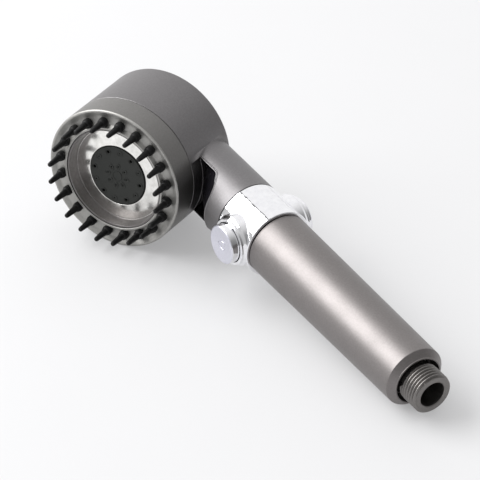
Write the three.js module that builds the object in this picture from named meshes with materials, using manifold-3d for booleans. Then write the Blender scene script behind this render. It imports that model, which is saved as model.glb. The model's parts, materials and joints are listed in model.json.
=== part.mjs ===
// Handheld shower head: a turning spray face in a drum-shaped head, a push-through stop valve
// and a handle that holds a filter cartridge. Millimetres, +Z up, lying at rest on the ground.
import * as THREE from 'three';
import { mergeVertices } from 'three/addons/utils/BufferGeometryUtils.js';
import Module from 'manifold-3d';

const wasm = await Module();
wasm.setup();

// ---- Clearances ----
const gap = 0.3; // between pieces that touch
const turnGap = 0.4; // between pieces that turn or slide on each other

// ---- Head: a drum, measured in depth from its lip ----
const headRadius = 37.5;
const headDepth = 50.5;
const shellWall = 1.8;
const shellLedge = 0.9; // step inside the shell that the manifold sits on
const backRound = 1.6; // rounding of the drum's rear edge
const seamDepth = 14.8; // joint line between turning ring and fixed shell

// ---- Comb ring: the turning front rim ----
const rimWidth = 10.35; // from the drum's side to the opening in its face
const lipWidth = 1.2;
const lipRound = 0.9;
const channelDepth = 1.3; // floor of the channel that the pins stand in
const beadHeight = 0.6; // how far the inner bead stands proud of the lip
const beadWidth = 1.1;
const ringPlate = 2;

// ---- Silicone comb ----
const pinCount = 20;
const pinInset = 6.5; // from the drum's side to the pins' centres
const pinLength = 11.2; // from the lip to the tip
const pinBaseRadius = 2.25;
const pinTipRadius = 1.2;
const pinWaist = 3.5; // from the lip to where the bulb ends
const webThickness = 1.8;

// ---- Dish and nozzle plate ----
const dishWall = 1.2;
const dishDepth = 6.2; // lip to the dish's outer corner
const dishInnerDepth = 3.9; // lip to the dish's inner edge
const dishRound = 0.6;
const nozzlePlateRadius = 15.9;
const nozzlePlateDepth = 3.4;
const nozzlePlateThickness = 1.6;
const nozzlePlateFlange = 2.6;
const nozzlePlateEdge = 0.4;
const flangeStep = 0.7; // room between the flange and the dish
const nozzleCount = 12;
const nozzleInset = 2.6;
const nozzleRadius = 0.9;
const innerJetCount = 8;
const innerJetPitch = 6.2;
const innerJetRadius = 0.7;

// ---- Face carrier, diverter and water manifold ----
const carrierPlate = 3;
const journalWall = 2.6;
const journalReach = 4.2; // how far the journal runs into the shell past the seam
const diverterRadius = 13.4;
const diverterThickness = 2;
const gasketThickness = 1.2;
const portPitch = 9;
const portRadius = 2;
const portCount = 3;
const pivotRadius = 1.9;
const pivotHeadRadius = 3.8;
const pivotHead = 1.4;
const pivotDome = 0.4;
const pivotRoom = 1.5; // manifold floor left under the screw's tip
const manifoldPlate = 2.8;
const manifoldWall = 2;
const chamberInset = 19.5; // from the drum's side to the inside of the water chamber
const detentPitch = 24;
const detentBallRadius = 1.6;
const postWall = 1.2;
const springWire = 0.28;
const springTurns = 4;

// ---- Handle line, measured from where its axis leaves the drum's side ----
const headTilt = THREE.MathUtils.degToRad(25.9); // lean from square to the drum's axis
const neckSetback = 18.7; // from the drum's back forward to that point
const neckRadius = 18.25;
const neckWall = 2;
const neckLength = 34.3;
const scoopRise = 8.5; // root of the neck insert, forward of the handle's axis
const scoopMargin = 2.25; // neck wall left beside the scoop
const scoopEndMargin = 12; // neck left below the scoop
const scoopCorner = 9;
const scoopLip = 0.8; // how far the insert sits below the neck's front line
const insertWall = 1.6;
const tubeRadius = 5.2;
const tubeBore = 3.4;
const tubeSeal = 0.45;
const tubeSealInset = 2.5; // from a socket's mouth to the ring in it
const tubeSetback = 3; // from the socket's floor to the tube's end

// ---- Stop valve ----
const valveLength = 26.4;
const valveClock = THREE.MathUtils.degToRad(-4.5); // turn of the valve about the handle's axis
const spigotLength = 8.5;
const spoolRadius = 6.3;
const spoolWaist = 3.2;
const stemRadius = 3;
const portHalfWidth = 2.2;
const portHalfHeight = 4.5;
const boreHalfLength = 11; // narrow part of the cross bore
const buttonRadius = 10;
const buttonStand = 5.3; // stop button's face above its collar
const rearStand = 3.4;
const buttonStroke = 5;
const buttonWall = 1.5;
const buttonRound = 1;
const collarWall = 1.5;
const collarHeight = 1.05; // above the band
const collarFlare = 1.2;
const collarFlareFoot = 3; // height below the rim where the flare begins
const collarFlareTop = 1.9;
const edgeRound = 0.4;
const bandRound = 0.5;
const stemSocket = 4; // from a button's face to the stem's end
const buttonBoss = 1.6;
const stopSkirt = 8.2;
const buttonSkirt = 10.4;

// ---- Handle, filter and inlet ----
const handleLength = 119.8;
const handleTopRadius = 16.8;
const handleEndRadius = 15.75;
const handleWall = 1.7;
const shoulderLength = 3.6; // cone between the handle's side and the lip
const shoulderRound = 0.7;
const baseLip = 0.5; // rounded lip round the base's hole
const baseHoleRadius = 11.9;
const baseHoleDepth = 7.2;
const baseFlange = 2.2;
const threadRadius = 10.4775; // G1/2 major
const threadRoot = 9.32;
const threadPitch = 1.814;
const threadReach = 11.8; // past the handle's base
const threadTurns = 6.3;
const inletBore = 6.65;
const endChamfer = 0.85;
const nippleFlange = 3.6;
const boreEdge = 0.4;
const crestHalf = 0.16; // half the flat of the thread's crest
const filterRadius = 12.4;
const filterBore = 7.2;
const filterCoreWall = 1.6;
const filterCap = 3;
const filterCapSocket = 6;
const filterCapWall = 1.2;
const filterRoom = 3; // left free at each end of the filter
const slotWidth = 3;
const seal = 0.8; // O-ring section radius in the valve, spool and inlet

// ---- Facets round a full turn ----
const coarse = 8;
const fine = 12;
const round = 20;
const broad = 32;

// ---- Levels that follow from the sizes above ----
const skirtInner = headRadius - shellWall;
const faceOpening = headRadius - rimWidth;
const pinPitch = headRadius - pinInset;
const pinHole = pinBaseRadius + gap;
const plateBack = channelDepth + ringPlate;
const webFront = plateBack + gap;
const webBack = webFront + webThickness;
const webInner = faceOpening + beadWidth + gap;
const webOuter = skirtInner - gap;
const dishRadius = faceOpening - gap;
const dishCorner = dishRadius - dishWall;
const dishBore = nozzlePlateRadius + gap;
const carrierFront = dishDepth + dishWall + gap;
const carrierBack = carrierFront + carrierPlate;
const journalEnd = seamDepth + journalReach;
const journalOuter = skirtInner - journalWall - turnGap - gap;
const diverterFront = carrierBack + gap;
const gasketFront = diverterFront + diverterThickness + gap;
const bossFront = gasketFront + gasketThickness + gap;
const manifoldFront = journalEnd + 2 * gap;
const manifoldBack = manifoldFront + manifoldPlate;
const chamberRadius = headRadius - chamberInset;
const chamberBack = headDepth - shellWall - gap;
const tubeSocket = tubeRadius + gap;
const stubRadius = tubeSocket + manifoldWall;
const neckSideDepth = headDepth - neckSetback;
const boreRoom = chamberBack - manifoldWall - neckSideDepth - tubeSocket * Math.cos(headTilt);
const stubStart = -boreRoom / Math.sin(headTilt);
const stubEnd = -9; // mouth of the manifold's stub, inside the drum
const neckInner = neckRadius - neckWall;
const scoopHalf = neckRadius - scoopMargin;
const scoopEnd = neckLength - scoopEndMargin;
const valveMiddle = neckLength + valveLength / 2;
const valveHalf = (valveLength - gap) / 2;
const neckSpigotRadius = neckInner - gap;
const handleTop = neckLength + valveLength;
const handleBase = handleTop + handleLength;
const handleSpigotRadius = handleTopRadius - handleWall - gap - edgeRound;
const crossBore = spoolRadius + turnGap;
const capBore = buttonRadius + turnGap;
const collarRadius = capBore + collarWall;
const collarReach = neckRadius + collarHeight;
const buttonReach = collarReach + buttonStand;
const rearReach = collarReach + rearStand;
const flangeFront = handleBase - baseHoleDepth - baseFlange;
const nippleBack = flangeFront - gap - nippleFlange;
const filterEnd = nippleBack - filterRoom;
const filterStart = valveMiddle + valveHalf + spigotLength + filterRoom;

// ---- Materials ----
const satin = new THREE.MeshStandardMaterial({ color: 0x8a8685, roughness: 0.35, metalness: 0.8 });
const chrome = new THREE.MeshStandardMaterial({ color: 0xe4e4e6, roughness: 0.06, metalness: 1 });
const rubber = new THREE.MeshStandardMaterial({ color: 0x151515, roughness: 0.55, metalness: 0 });
const darkResin = new THREE.MeshStandardMaterial({ color: 0x2b2f2d, roughness: 0.5, metalness: 0 });
const pianoBlack = new THREE.MeshStandardMaterial({ color: 0x101012, roughness: 0.12, metalness: 0 });
const whiteResin = new THREE.MeshStandardMaterial({ color: 0xe9e9e4, roughness: 0.5, metalness: 0 });
const steel = new THREE.MeshStandardMaterial({ color: 0xb4b6b8, roughness: 0.3, metalness: 1 });
const cotton = new THREE.MeshStandardMaterial({ color: 0xf2f1ec, roughness: 0.95, metalness: 0 });

// ---- Shape helpers ----

// A closed geometry with shared vertices and its faces pointing out.
function closed(geometry) {
  const bare = new THREE.BufferGeometry();
  bare.setAttribute('position', geometry.getAttribute('position').clone());
  if (geometry.index) bare.setIndex(geometry.index.clone());
  const welded = mergeVertices(bare, 1e-3);
  const index = [...welded.index.array];
  const position = welded.getAttribute('position');
  const corner = (i) => new THREE.Vector3().fromBufferAttribute(position, i);
  const faces = [];
  let volume = 0;
  for (let i = 0; i < index.length; i += 3) {
    const [a, b, c] = index.slice(i, i + 3);
    if (a === b || b === c || c === a) continue;
    faces.push([a, b, c]);
    volume += corner(a).dot(corner(b).cross(corner(c)));
  }
  welded.setIndex(faces.flatMap(([a, b, c]) => (volume < 0 ? [a, c, b] : [a, b, c])));
  return welded;
}

// A closed outline of [radius, height] points turned about Y.
function turned(outline, facets) {
  const points = [...outline, outline[0]].map(([r, y]) => new THREE.Vector2(r, y));
  return closed(new THREE.LatheGeometry(points, facets));
}

// The same outline turned about X, for [radius, reach] points.
const turnedAcross = (outline, facets) => turned(outline, facets).rotateZ(-Math.PI / 2);

const disc = (radius, from, to, facets) =>
  turned([[0, from], [radius, from], [radius, to], [0, to]], facets);

const tube = (outer, inner, from, to, facets) =>
  turned([[outer, from], [outer, to], [inner, to], [inner, from]], facets);

// Points along a quarter-round or any other arc, angles in degrees from the radius direction.
function arc(r, y, radiusR, radiusY, from, to, steps) {
  return Array.from({ length: steps + 1 }, (_, i) => {
    const angle = THREE.MathUtils.degToRad(from + ((to - from) * i) / steps);
    return [r + radiusR * Math.cos(angle), y + radiusY * Math.sin(angle)];
  });
}

// An O-ring of the given section radius, seated in a groove of a rod, and that rod with its grooves.
const sealRing = (rodRadius, section, height, facets) =>
  turned(arc(rodRadius - 0.75 * section, height, section, section, 0, 288, 4), facets);

function groovedRod(outer, inner, from, to, grooves, section, facets) {
  const floor = outer - 2.1 * section;
  const half = section + gap;
  const notches = grooves.flatMap((middle) => [
    [outer, middle - half], [floor, middle - half], [floor, middle + half], [outer, middle + half],
  ]);
  return turned([[inner, from], [outer, from], ...notches, [outer, to], [inner, to]], facets);
}

function box(x, y, z, width, depth, height) {
  return closed(new THREE.BoxGeometry(width, depth, height)).translate(x, y, z);
}

function solid(geometry) {
  const vertProperties = geometry.getAttribute('position').array;
  const triVerts = new Uint32Array(geometry.index.array);
  return new wasm.Manifold(new wasm.Mesh({ numProp: 3, vertProperties, triVerts }));
}

function shape(manifold) {
  const mesh = manifold.getMesh();
  const geometry = new THREE.BufferGeometry();
  const points = new Float32Array(mesh.numVert * 3);
  for (let i = 0; i < mesh.numVert; i += 1) {
    for (let k = 0; k < 3; k += 1) points[3 * i + k] = mesh.vertProperties[i * mesh.numProp + k];
  }
  geometry.setAttribute('position', new THREE.BufferAttribute(points, 3));
  geometry.setIndex([...mesh.triVerts]);
  return geometry;
}

const cut = (geometry, ...tools) =>
  shape(tools.reduce((body, tool) => body.subtract(solid(tool)), solid(geometry)));

const join = (geometry, ...others) =>
  shape(others.reduce((body, other) => body.add(solid(other)), solid(geometry)));

const common = (geometry, ...others) =>
  shape(others.reduce((body, other) => body.intersect(solid(other)), solid(geometry)));

const placed = (geometry, matrix) => geometry.clone().applyMatrix4(matrix);

// Copies of a geometry spaced evenly about Y, the first one a given pitch radius along X.
function aroundY(geometry, count, pitch, start = 0) {
  return Array.from({ length: count }, (_, i) => {
    const copy = geometry.clone().translate(pitch, 0, 0);
    return copy.rotateY(start + (2 * Math.PI * i) / count);
  });
}

// A section of [radius, height] points swept up a helix about Y, with its own scale at each step.
function helix(section, pitch, turns, perTurn, swell = () => 1) {
  const steps = Math.round(turns * perTurn);
  const root = Math.min(...section.map(([r]) => r));
  const points = [];
  const faces = [];
  for (let i = 0; i <= steps; i += 1) {
    const angle = (2 * Math.PI * i) / perTurn;
    const grow = swell(i / steps);
    for (const [r, y] of section) {
      const radius = root + (r - root) * grow;
      const height = y + (pitch * i) / perTurn;
      points.push(radius * Math.cos(angle), height, -radius * Math.sin(angle));
    }
  }
  const n = section.length;
  for (let i = 0; i < steps; i += 1) {
    for (let k = 0; k < n; k += 1) {
      const a = i * n + k;
      const b = i * n + ((k + 1) % n);
      faces.push(a, b, b + n, a, b + n, a + n);
    }
  }
  for (let k = 1; k < n - 1; k += 1) {
    faces.push(0, k + 1, k, steps * n, steps * n + k, steps * n + k + 1);
  }
  const geometry = new THREE.BufferGeometry();
  geometry.setAttribute('position', new THREE.Float32BufferAttribute(points, 3));
  geometry.setIndex(faces);
  return closed(geometry);
}

function add(parent, name, geometry, material, position = [0, 0, 0]) {
  const mesh = new THREE.Mesh(geometry, material);
  mesh.name = name;
  mesh.position.set(...position);
  parent.add(mesh);
}

// ---- Frames: the head's Y runs from its face to its back, the handle's Y from head to inlet ----
const handleTurn = -(Math.PI / 2 + headTilt);
const handleFrame = new THREE.Matrix4()
  .makeTranslation(headRadius, neckSideDepth, 0)
  .multiply(new THREE.Matrix4().makeRotationZ(handleTurn));

const head = new THREE.Group();
const handle = new THREE.Group();
handle.position.set(headRadius, neckSideDepth, 0);
handle.rotation.z = handleTurn;
const valve = new THREE.Group();
valve.position.y = valveMiddle;
valve.rotation.y = -valveClock;
handle.add(valve);

// ---- Turning spray face ----

function combRing() {
  const body = turned([
    [headRadius, seamDepth - gap / 2],
    ...arc(headRadius - lipRound, lipRound, lipRound, lipRound, 0, -90, 3),
    [headRadius - lipWidth, 0],
    [headRadius - lipWidth - channelDepth, channelDepth],
    [faceOpening + beadWidth + channelDepth, channelDepth],
    [faceOpening + beadWidth, -beadHeight],
    [faceOpening, -beadHeight],
    [faceOpening, webFront],
    [faceOpening + beadWidth, webFront],
    [faceOpening + beadWidth, plateBack],
    [skirtInner, plateBack],
    [skirtInner, seamDepth - gap / 2],
  ], broad);
  const hole = disc(pinHole, -pinLength, plateBack + gap, 8);
  return cut(body, ...aroundY(hole, pinCount, pinPitch));
}

function siliconeComb() {
  const pin = turned([
    [0, webBack - gap],
    [pinBaseRadius, webBack - gap],
    [pinBaseRadius, 0],
    [(pinBaseRadius + pinTipRadius) / 2, -pinWaist],
    [pinTipRadius, pinTipRadius - pinLength],
    [pinTipRadius / 2, -pinLength],
    [0, -pinLength],
  ], 6);
  const web = tube(webOuter, webInner, webFront, webBack, round);
  return join(web, ...aroundY(pin, pinCount, pinPitch));
}

function chromeDish() {
  return turned([
    [dishRadius, 0],
    [dishRadius, dishDepth + dishWall],
    [dishCorner, dishDepth + dishWall],
    [dishBore, dishInnerDepth + dishWall],
    [dishBore, dishInnerDepth],
    [dishCorner, dishDepth],
    [dishCorner + dishRound / 2, dishDepth - dishRound],
    [dishRadius - dishRound, 0],
  ], broad);
}

function nozzlePlate() {
  const flangeFace = dishInnerDepth + dishWall + gap + flangeStep;
  const chamber = nozzlePlateDepth + nozzlePlateThickness;
  const flangeBack = carrierFront - gap;
  const flange = nozzlePlateRadius + nozzlePlateFlange;
  const body = turned([
    [0, nozzlePlateDepth],
    [nozzlePlateRadius - nozzlePlateEdge, nozzlePlateDepth],
    [nozzlePlateRadius, nozzlePlateDepth + nozzlePlateEdge],
    [nozzlePlateRadius, flangeFace],
    [flange, flangeFace],
    [flange, flangeBack],
    [nozzlePlateRadius - dishWall, flangeBack],
    [nozzlePlateRadius - dishWall, chamber],
    [0, chamber],
  ], round);
  const jet = disc(nozzleRadius, -1, headDepth / 2, 6);
  const innerJet = disc(innerJetRadius, -1, headDepth / 2, 6);
  return cut(body,
    ...aroundY(jet, nozzleCount, nozzlePlateRadius - nozzleInset),
    ...aroundY(innerJet, innerJetCount, innerJetPitch));
}

function ports(from, to, radius = portRadius) {
  return aroundY(disc(radius, from, to, coarse), portCount, portPitch);
}

function faceCarrier() {
  const body = turned([
    [pivotRadius + turnGap, carrierFront],
    [webInner, carrierFront],
    [webInner, webBack + gap],
    [webOuter, webBack + gap],
    [webOuter, carrierBack],
    [journalOuter, carrierBack],
    [journalOuter, journalEnd],
    [journalOuter - journalWall, journalEnd],
    [journalOuter - journalWall, carrierBack],
    [pivotRadius + turnGap, carrierBack],
  ], broad);
  return cut(body, ...ports(carrierFront - 1, carrierBack + 1));
}

function diverterDisc() {
  const body = tube(diverterRadius, pivotRadius + turnGap, diverterFront,
    diverterFront + diverterThickness, fine);
  return cut(body, ...ports(diverterFront - 1, gasketFront));
}

// ---- Fixed inside of the head ----

function portGasket() {
  const body = tube(diverterRadius, pivotRadius + gap, gasketFront,
    gasketFront + gasketThickness, fine);
  return cut(body, ...ports(gasketFront - 1, bossFront));
}

function pivotScrew() {
  const seat = carrierFront - gap;
  return turned([
    [0, seat - pivotHead - pivotDome],
    [pivotHeadRadius, seat - pivotHead],
    [pivotHeadRadius, seat],
    [pivotRadius, seat],
    [pivotRadius, manifoldBack - pivotRoom],
    [0, manifoldBack - pivotRoom + gap],
  ], fine);
}

// Detent: a ball and spring in a post of the manifold, pressing on the back of the carrier.
const ballDepth = carrierBack + gap + detentBallRadius;
const springFront = ballDepth + detentBallRadius;
const detentFoot = manifoldFront + 1;
const detentBore = detentBallRadius + gap;

function detentSpring() {
  const coil = detentBallRadius - 1.3 * springWire;
  const section = arc(coil, springWire, springWire, springWire, 0, 270, 3);
  const room = detentFoot - springFront - 2 * gap - 2 * springWire;
  return helix(section, room / springTurns, springTurns, 10).translate(0, springFront + gap, 0);
}

function waterManifold() {
  const body = turned([
    [0, bossFront],
    [diverterRadius + gap, bossFront],
    [diverterRadius + gap, manifoldFront],
    [journalOuter + turnGap, manifoldFront],
    [journalOuter + turnGap, seamDepth + 2 * gap],
    [skirtInner - gap, seamDepth + 2 * gap],
    [skirtInner - gap, manifoldBack],
    [chamberRadius + manifoldWall, manifoldBack],
    [chamberRadius + manifoldWall, chamberBack],
    [0, chamberBack],
  ], broad);
  const room = disc(skirtInner - shellLedge - gap, manifoldFront, chamberBack, broad);
  const stub = common(placed(disc(stubRadius, stubStart, stubEnd, round), handleFrame), room);
  const post = disc(detentBore + postWall, ballDepth, detentFoot, coarse);
  const postHole = disc(detentBore, carrierBack, detentFoot, coarse);
  const chamber = disc(chamberRadius, manifoldBack, chamberBack - manifoldWall, broad);
  const bore = placed(disc(tubeSocket, stubStart, neckLength, fine), handleFrame);
  const screwHole = disc(pivotRadius + gap, 0, manifoldBack - 1, coarse);
  const joined = join(body, stub, post.translate(0, 0, detentPitch));
  return cut(joined, chamber, bore, screwHole, postHole.translate(0, 0, detentPitch),
    ...ports(bossFront - 1, manifoldBack + 1));
}

// ---- Rear shell: the drum's back and its neck in one casing ----

// The rounded column that cuts the scoop out of the neck's front, in the handle's frame.
function scoopColumn(inset) {
  const half = scoopHalf - inset;
  const end = scoopEnd - inset;
  const corner = scoopCorner - inset;
  const outline = new THREE.Shape();
  outline.moveTo(-2 * neckRadius, -half);
  outline.lineTo(end - corner, -half);
  outline.absarc(end - corner, -half + corner, corner, -Math.PI / 2, 0, false);
  outline.absarc(end - corner, half - corner, corner, 0, Math.PI / 2, false);
  outline.lineTo(-2 * neckRadius, half);
  const depth = 2 * neckRadius;
  const column = new THREE.ExtrudeGeometry(outline, { depth, bevelEnabled: false, curveSegments: 5 });
  // the outline's axes become the handle's Y and Z, the extrusion runs forward along X
  const axes = new THREE.Matrix4().makeBasis(
    new THREE.Vector3(0, 1, 0), new THREE.Vector3(0, 0, 1), new THREE.Vector3(1, 0, 0));
  return closed(column.applyMatrix4(axes));
}

// Everything behind the scoop's sloping floor, lowered by the given amount.
function belowFloor(lowered) {
  const rootY = scoopRise * Math.sin(headTilt);
  const rootX = scoopRise * Math.cos(headTilt);
  const endX = neckRadius - scoopLip;
  const slope = Math.atan2(endX - rootX, scoopEnd - rootY);
  const size = 6 * neckRadius;
  return box(-size / 2 - lowered, 0, 0, size, size, size)
    .rotateZ(-slope)
    .translate(rootX, rootY, 0);
}

// The way for the waterway tube through the drum's side and behind the insert.
const tubePassage = () =>
  disc(tubeRadius + turnGap, -stubRadius - tubeRadius, neckLength, fine);

function rearShell() {
  const root = shellWall / 3; // how far the neck and the scoop reach into the drum's wall
  const full = [-2 * headDepth, 2 * headDepth];
  const backPlane = box(0, headDepth - 4 * headRadius, 0, 8 * headRadius, 8 * headRadius, 8 * headRadius);
  const column = cut(placed(scoopColumn(0), handleFrame), disc(headRadius - root, ...full, broad));
  const bore = placed(disc(neckInner, -headRadius / 2, neckLength + 1, broad), handleFrame);
  const neckRod = placed(disc(neckRadius, -headRadius, neckLength - gap / 2, broad), handleFrame);
  const insideDrum = disc(headRadius - 2 * root, ...full, broad);
  const aheadOfSeam = disc(headRadius - root / 2, -2 * headDepth, seamDepth + shellWall, broad);
  const neck = cut(common(neckRod, backPlane), insideDrum, aheadOfSeam, bore, column);
  const drum = turned([
    [headRadius, seamDepth + gap / 2],
    ...arc(headRadius - backRound, headDepth - backRound, backRound, backRound, 0, 90, 3),
    [0, headDepth],
    [0, headDepth - shellWall],
    [skirtInner - shellLedge, headDepth - shellWall],
    [skirtInner - shellLedge, manifoldBack + gap],
    [skirtInner, manifoldBack + gap],
    [skirtInner, seamDepth + gap / 2],
  ], broad);
  return cut(join(drum, neck), placed(tubePassage(), handleFrame));
}

function neckInsert() {
  const start = -neckRadius;
  const outer = disc(neckRadius - 2 * gap, start, scoopEnd, broad);
  const inner = disc(neckInner - gap, start - 1, scoopEnd + 1, broad);
  const plug = common(outer, scoopColumn(gap), belowFloor(0));
  const hollow = common(inner, belowFloor(insertWall));
  const drumSide = placed(disc(headRadius + gap, -headDepth, 2 * headDepth, broad),
    handleFrame.clone().invert());
  return cut(plug, hollow, drumSide, tubePassage());
}

// ---- Waterway from the valve to the manifold ----
const tubeSeals = [stubEnd - tubeSealInset, valveMiddle - valveHalf - spigotLength + tubeSealInset];

function waterwayTube() {
  const from = stubStart + tubeSetback;
  const to = valveMiddle - valveHalf - gap;
  return groovedRod(tubeRadius, tubeBore, from, to, tubeSeals, tubeSeal, fine);
}

// ---- Stop valve, about its own middle: X forward through the button, Y along the handle ----
const neckSealHeight = -valveHalf - spigotLength / 2;
const handleSealHeight = valveHalf + spigotLength / 2;

function collar(side) {
  const sink = boreHalfLength;
  const outline = [
    [0, sink],
    [collarRadius + collarFlare, sink],
    [collarRadius + collarFlare, collarReach - collarFlareFoot],
    [collarRadius + 0.3 * collarFlare, collarReach - collarFlareTop],
    [collarRadius, collarReach - edgeRound],
    [collarRadius - edgeRound, collarReach],
    [0, collarReach],
  ];
  return turnedAcross(outline.map(([r, x]) => [r, side * x]), round);
}

function valveBody() {
  const band = turned([
    [0, -valveHalf],
    [neckRadius - bandRound, -valveHalf],
    [neckRadius, -valveHalf + bandRound],
    [neckRadius, valveHalf - bandRound],
    [neckRadius - bandRound, valveHalf],
    [0, valveHalf],
  ], broad);
  const neckSpigot = groovedRod(neckSpigotRadius, 0, -valveHalf - spigotLength, -valveHalf + 1,
    [neckSealHeight], seal, round);
  const handleSpigot = groovedRod(handleSpigotRadius, 0, valveHalf - 1, valveHalf + spigotLength,
    [handleSealHeight], seal, round);
  const withinBand = disc(2 * neckRadius, -valveHalf, valveHalf, coarse);
  const collars = common(join(collar(1), collar(-1)), withinBand);
  const body = join(band, neckSpigot, handleSpigot, collars);
  const socket = disc(tubeSocket, -valveHalf - spigotLength - 1, -valveHalf, fine);
  const port = box(0, 0, 0, 2 * portHalfWidth, 2 * (valveHalf + 1), 2 * portHalfHeight);
  const inlet = disc(handleSpigotRadius - 3, valveHalf + 1, valveHalf + spigotLength + 1, fine);
  const across = turnedAcross(
    [[0, -2 * neckRadius], [crossBore, -2 * neckRadius], [crossBore, 2 * neckRadius], [0, 2 * neckRadius]],
    fine);
  const frontBore = turnedAcross(
    [[0, boreHalfLength], [capBore, boreHalfLength], [capBore, 2 * neckRadius], [0, 2 * neckRadius]], round);
  return cut(body, socket, port, inlet, across, frontBore, frontBore.clone().rotateY(Math.PI));
}

// Spool: its waist stands at the ports when open; pushed in, the front land covers them.
const frontLandEnd = boreHalfLength - 0.6;
const rearLandEnd = -portHalfWidth - buttonStroke - 1;
const frontSeal = frontLandEnd - seal - 2 * gap;
const rearSeal = -portHalfWidth - gap - seal - 2 * gap;
const stemEnd = buttonReach - stemSocket;
const rearStemEnd = -rearReach + stemSocket;

function valveSpool() {
  const half = seal + gap;
  const floor = spoolRadius - 2.1 * seal;
  return turnedAcross([
    [0, rearStemEnd],
    [stemRadius, rearStemEnd],
    [stemRadius, rearLandEnd],
    [spoolRadius, rearLandEnd],
    [spoolRadius, rearSeal - half],
    [floor, rearSeal - half],
    [floor, rearSeal + half],
    [spoolRadius, rearSeal + half],
    [spoolRadius, -portHalfWidth - gap],
    [spoolWaist, -portHalfWidth - gap],
    [spoolWaist, portHalfWidth + gap],
    [spoolRadius, portHalfWidth + gap],
    [spoolRadius, frontSeal - half],
    [floor, frontSeal - half],
    [floor, frontSeal + half],
    [spoolRadius, frontSeal + half],
    [spoolRadius, frontLandEnd],
    [stemRadius, frontLandEnd],
    [stemRadius, stemEnd],
    [0, stemEnd],
  ], fine);
}

// A push-button cap: a cup with a socket for the spool's stem.
function buttonCap(reach, skirtEnd, socketEnd, side) {
  const top = reach - buttonWall;
  const outline = [
    [0, reach],
    ...arc(buttonRadius - buttonRound, reach - buttonRound, buttonRound, buttonRound, 90, 0, 3),
    [buttonRadius, skirtEnd],
    [buttonRadius - buttonWall, skirtEnd],
    [buttonRadius - buttonWall, top],
    [stemRadius + gap + buttonBoss, top],
    [stemRadius + gap + buttonBoss, socketEnd],
    [stemRadius + gap, socketEnd],
    [stemRadius + gap, reach - stemSocket + gap],
    [0, reach - stemSocket + gap],
  ];
  return turnedAcross(outline.map(([r, x]) => [r, side * x]), round);
}

// ---- Handle, inlet and filter ----

// The coned end of the handle, from its side to the lip round the base's hole.
const shoulder = [
  [handleEndRadius, handleBase - shoulderLength - shoulderRound],
  [handleEndRadius - shoulderRound / 2, handleBase - shoulderLength + shoulderRound / 2],
  [baseHoleRadius + 2 * baseLip, handleBase - baseLip / 2],
  [baseHoleRadius + baseLip, handleBase],
];

function handleTube() {
  const innerTop = handleSpigotRadius + gap;
  const inner = handleEndRadius - handleWall;
  return turned([
    [innerTop, handleTop + gap / 2],
    [handleTopRadius - edgeRound, handleTop + gap / 2],
    [handleTopRadius, handleTop + gap / 2 + edgeRound],
    ...shoulder,
    [baseHoleRadius, handleBase - baseLip / 2],
    [baseHoleRadius, handleBase - baseHoleDepth],
    [threadRadius + turnGap, handleBase - baseHoleDepth],
    [threadRadius + turnGap, flangeFront],
    [inner, flangeFront],
    [inner, filterStart],
    [innerTop, filterStart - 1],
  ], broad);
}

function inletNipple() {
  const end = handleBase + threadReach;
  const flange = handleEndRadius - handleWall - gap;
  const core = turned([
    [inletBore, nippleBack],
    [flange, nippleBack],
    [flange, flangeFront - gap],
    [threadRoot, flangeFront - gap],
    [threadRoot, end],
    [inletBore + boreEdge, end],
    [inletBore, end - boreEdge],
  ], round);
  const half = threadPitch / 2;
  const section = [[threadRoot - gap, -half * 0.9], [threadRadius, -crestHalf],
    [threadRadius, crestHalf], [threadRoot - gap, half * 0.9]];
  const fade = (along) => Math.min(1, 12 * along, 12 * (1 - along));
  const ridge = helix(section, threadPitch, threadTurns, fine, fade)
    .translate(0, end - threadPitch * (threadTurns + 0.45), 0);
  const envelope = turned([
    [0, nippleBack],
    [flange + 1, nippleBack],
    [flange + 1, end - endChamfer - (flange + 1 - threadRadius)],
    [threadRadius, end - endChamfer],
    [threadRadius - endChamfer, end],
    [0, end],
  ], round);
  const bore = disc(inletBore, nippleBack - 1, end + 1, round);
  return cut(common(join(core, ridge), envelope), bore);
}

function inletScreen() {
  const middle = flangeFront;
  const plate = disc(inletBore - gap, middle, middle + 1, fine);
  const holeRadius = 0.9;
  const hole = disc(holeRadius, middle - 1, middle + 2, 6);
  return cut(plate, ...aroundY(hole, 6, inletBore - gap - 2 * holeRadius));
}

function filterCore() {
  const outer = filterBore - gap;
  const body = tube(outer, outer - filterCoreWall, filterStart + filterCap + gap,
    filterEnd - filterCap - gap, fine);
  const slotLength = 14;
  const pitch = 20;
  const rows = Math.floor((filterEnd - filterStart - 2 * filterCap) / pitch);
  const slots = Array.from({ length: rows }, (_, i) => {
    const middle = filterStart + filterCap + 2 + slotLength / 2 + i * pitch;
    return [0, Math.PI / 2].map((turn) =>
      box(0, middle, 0, 3 * outer, slotLength, slotWidth).rotateY(turn));
  });
  return cut(body, ...slots.flat());
}

const filterRim = handleEndRadius - handleWall - 2 * gap;

function filterTopCap() {
  const socketEnd = filterStart + filterCap + gap + filterCapSocket;
  const inner = filterBore - gap - filterCoreWall - gap;
  return turned([
    [inner - filterCapWall, filterStart],
    [filterRim, filterStart],
    [filterRim, filterStart + filterCap],
    [inner, filterStart + filterCap],
    [inner, socketEnd],
    [inner - filterCapWall, socketEnd],
  ], round);
}

function filterEndCap() {
  const inner = filterBore - gap - filterCoreWall - gap;
  const body = turned([
    [0, filterEnd],
    [filterRim, filterEnd],
    [filterRim, filterEnd - filterCap],
    [inner, filterEnd - filterCap],
    [inner, filterEnd - filterCap - filterCapSocket],
    [0, filterEnd - filterCap - filterCapSocket],
  ], round);
  const notch = box(filterRim, filterEnd - filterCap / 2, 0, 5, filterCap + 2, slotWidth + 1);
  return cut(body, ...Array.from({ length: 6 }, (_, i) => notch.clone().rotateY((Math.PI * i) / 3)));
}

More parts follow.
